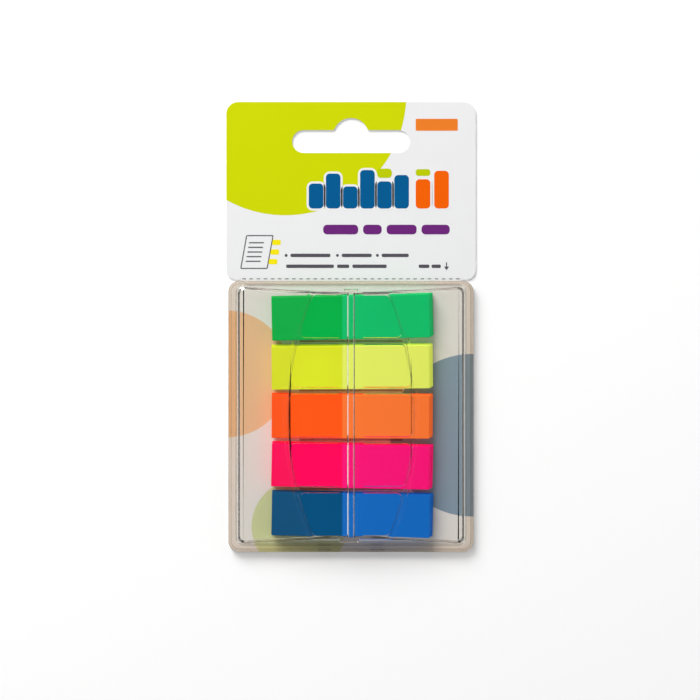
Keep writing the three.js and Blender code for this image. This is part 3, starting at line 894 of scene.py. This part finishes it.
def make_bead():
    mesh = bmesh.new()
    turns = [math.pi * k / BEAD_STEPS for k in range(BEAD_STEPS + 1)]
    rings = [case_ring(mesh, BEAD_INSET - BEAD_HALF_WIDTH * math.cos(turn),
                       BEAD_FOOT + BEAD_HEIGHT * MM * math.sin(turn)) for turn in turns]
    for k, ring in enumerate(rings):
        inner = rings[(k + 1) % len(rings)]
        for i in range(len(ring)):
            j = (i + 1) % len(ring)
            mesh.faces.new((ring[i], ring[j], inner[j], inner[i]))
    bmesh.ops.recalc_face_normals(mesh, faces=mesh.faces)
    data = bpy.data.meshes.new("rim_bead")
    mesh.to_mesh(data)
    mesh.free()
    data.shade_smooth()
    data.set_sharp_from_angle(angle=math.radians(60))
    data.materials.append(PLASTIC)
    piece = new_object("rim_bead", data)
    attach(piece, "root")
    return piece


print("bead faces:", len(make_bead().data.polygons))

# %% [markdown]
# ## Floor, light and camera
# The pack lies on a pale table. The table's own colour is nearly white, and a little glow that only
# the camera, mirrors and clear plastic see lifts it to white. No lamp has to be turned up for it,
# so the colours stay right and the table keeps the shadow.

# %% Floor
FLOOR_HALF = 3.0
FLOOR_DROP = 0.02 * MM
FLOOR_GLOW = 0.1


def make_floor_material():
    material, tree = new_material("pale_table")
    place = add_node(tree, "ShaderNodeTexCoord").outputs["Object"]
    noise = add_node(tree, "ShaderNodeTexNoise", Vector=place, Scale=400.0, Detail=2.0)
    tone = add_node(tree, "ShaderNodeMapRange", Value=noise.outputs["Fac"], To_Min=0.96, To_Max=0.98)
    base = add_node(tree, "ShaderNodeBsdfDiffuse", Color=tone.outputs[0])
    path = add_node(tree, "ShaderNodeLightPath").outputs
    seen = combine(tree, "MAXIMUM",
                   [path["Is Camera Ray"], path["Is Glossy Ray"], path["Is Transmission Ray"]])
    glow = add_node(tree, "ShaderNodeEmission", Strength=calc(tree, "MULTIPLY", seen, FLOOR_GLOW))
    both = add_node(tree, "ShaderNodeAddShader", i0=base.outputs[0], i1=glow.outputs[0])
    add_node(tree, "ShaderNodeOutputMaterial", Surface=both.outputs[0])
    return material


def make_floor():
    mesh = bpy.data.meshes.new("floor")
    corners = [(-FLOOR_HALF, -FLOOR_HALF, 0), (FLOOR_HALF, -FLOOR_HALF, 0), (FLOOR_HALF, FLOOR_HALF, 0),
               (-FLOOR_HALF, FLOOR_HALF, 0)]
    mesh.from_pydata(corners, [], [(0, 1, 2, 3)])
    mesh.materials.append(make_floor_material())
    floor = new_object("floor", mesh)
    floor.location.z = -FLOOR_DROP
    return floor


print("floor at z in mm:", round(make_floor().location.z / MM, 2))

# %% [markdown]
# A broad lamp from the upper left gives the soft shadow. Two weak ones, low at the sides, keep the
# faces there from going dark, and an even white world fills the rest. Together they light a flat
# colour to about the value that it is written with.

# %% World and lamps
WORLD_STRENGTH = 0.3


def make_world(strength):
    world = bpy.data.worlds.new("studio")
    world.use_nodes = True
    background = world.node_tree.nodes["Background"]
    background.inputs[0].default_value = (1, 1, 1, 1)
    background.inputs[1].default_value = strength
    bpy.context.scene.world = world


def make_lamp(name, place, size, power):
    """A round lamp that points at the origin."""
    lamp = bpy.data.lights.new(name, "AREA")
    lamp.shape = "DISK"
    lamp.size = size
    lamp.energy = power
    holder = new_object(name, lamp)
    holder.location = place
    holder.rotation_euler = (-holder.location).to_track_quat("-Z", "Y").to_euler()


make_world(WORLD_STRENGTH)
make_lamp("key", (-0.5, 0.9, 0.75), 0.9, 17.8)
make_lamp("left_fill", (-1.2, -0.2, 0.55), 1.0, 1.6)
make_lamp("right_fill", (1.2, -0.2, 0.55), 1.0, 2.2)

# %% [markdown]
# The camera looks straight down, as on a product picture. A long lens from far away keeps the walls
# of the case from leaning outwards. The lens follows from the distance and the width that we want
# to see.

# %% Camera
VIEW_MIDDLE = (-0.28 * MM, -6.5 * MM)
DISTANCE = 1.2
FIELD = 195.6 * MM
FOCUS_HEIGHT = 5.5 * MM  # the field is measured at this height
SENSOR = 36
camera_data = bpy.data.cameras.new("camera")
camera_data.sensor_width = SENSOR
camera_data.lens = SENSOR * DISTANCE / FIELD
camera_data.clip_start = 0.01
camera = new_object("camera", camera_data)
camera.location = (*VIEW_MIDDLE, DISTANCE + FOCUS_HEIGHT)
bpy.context.scene.camera = camera
bpy.context.scene.view_settings.view_transform = "Standard"
print("lens:", round(camera_data.lens, 1), "mm")
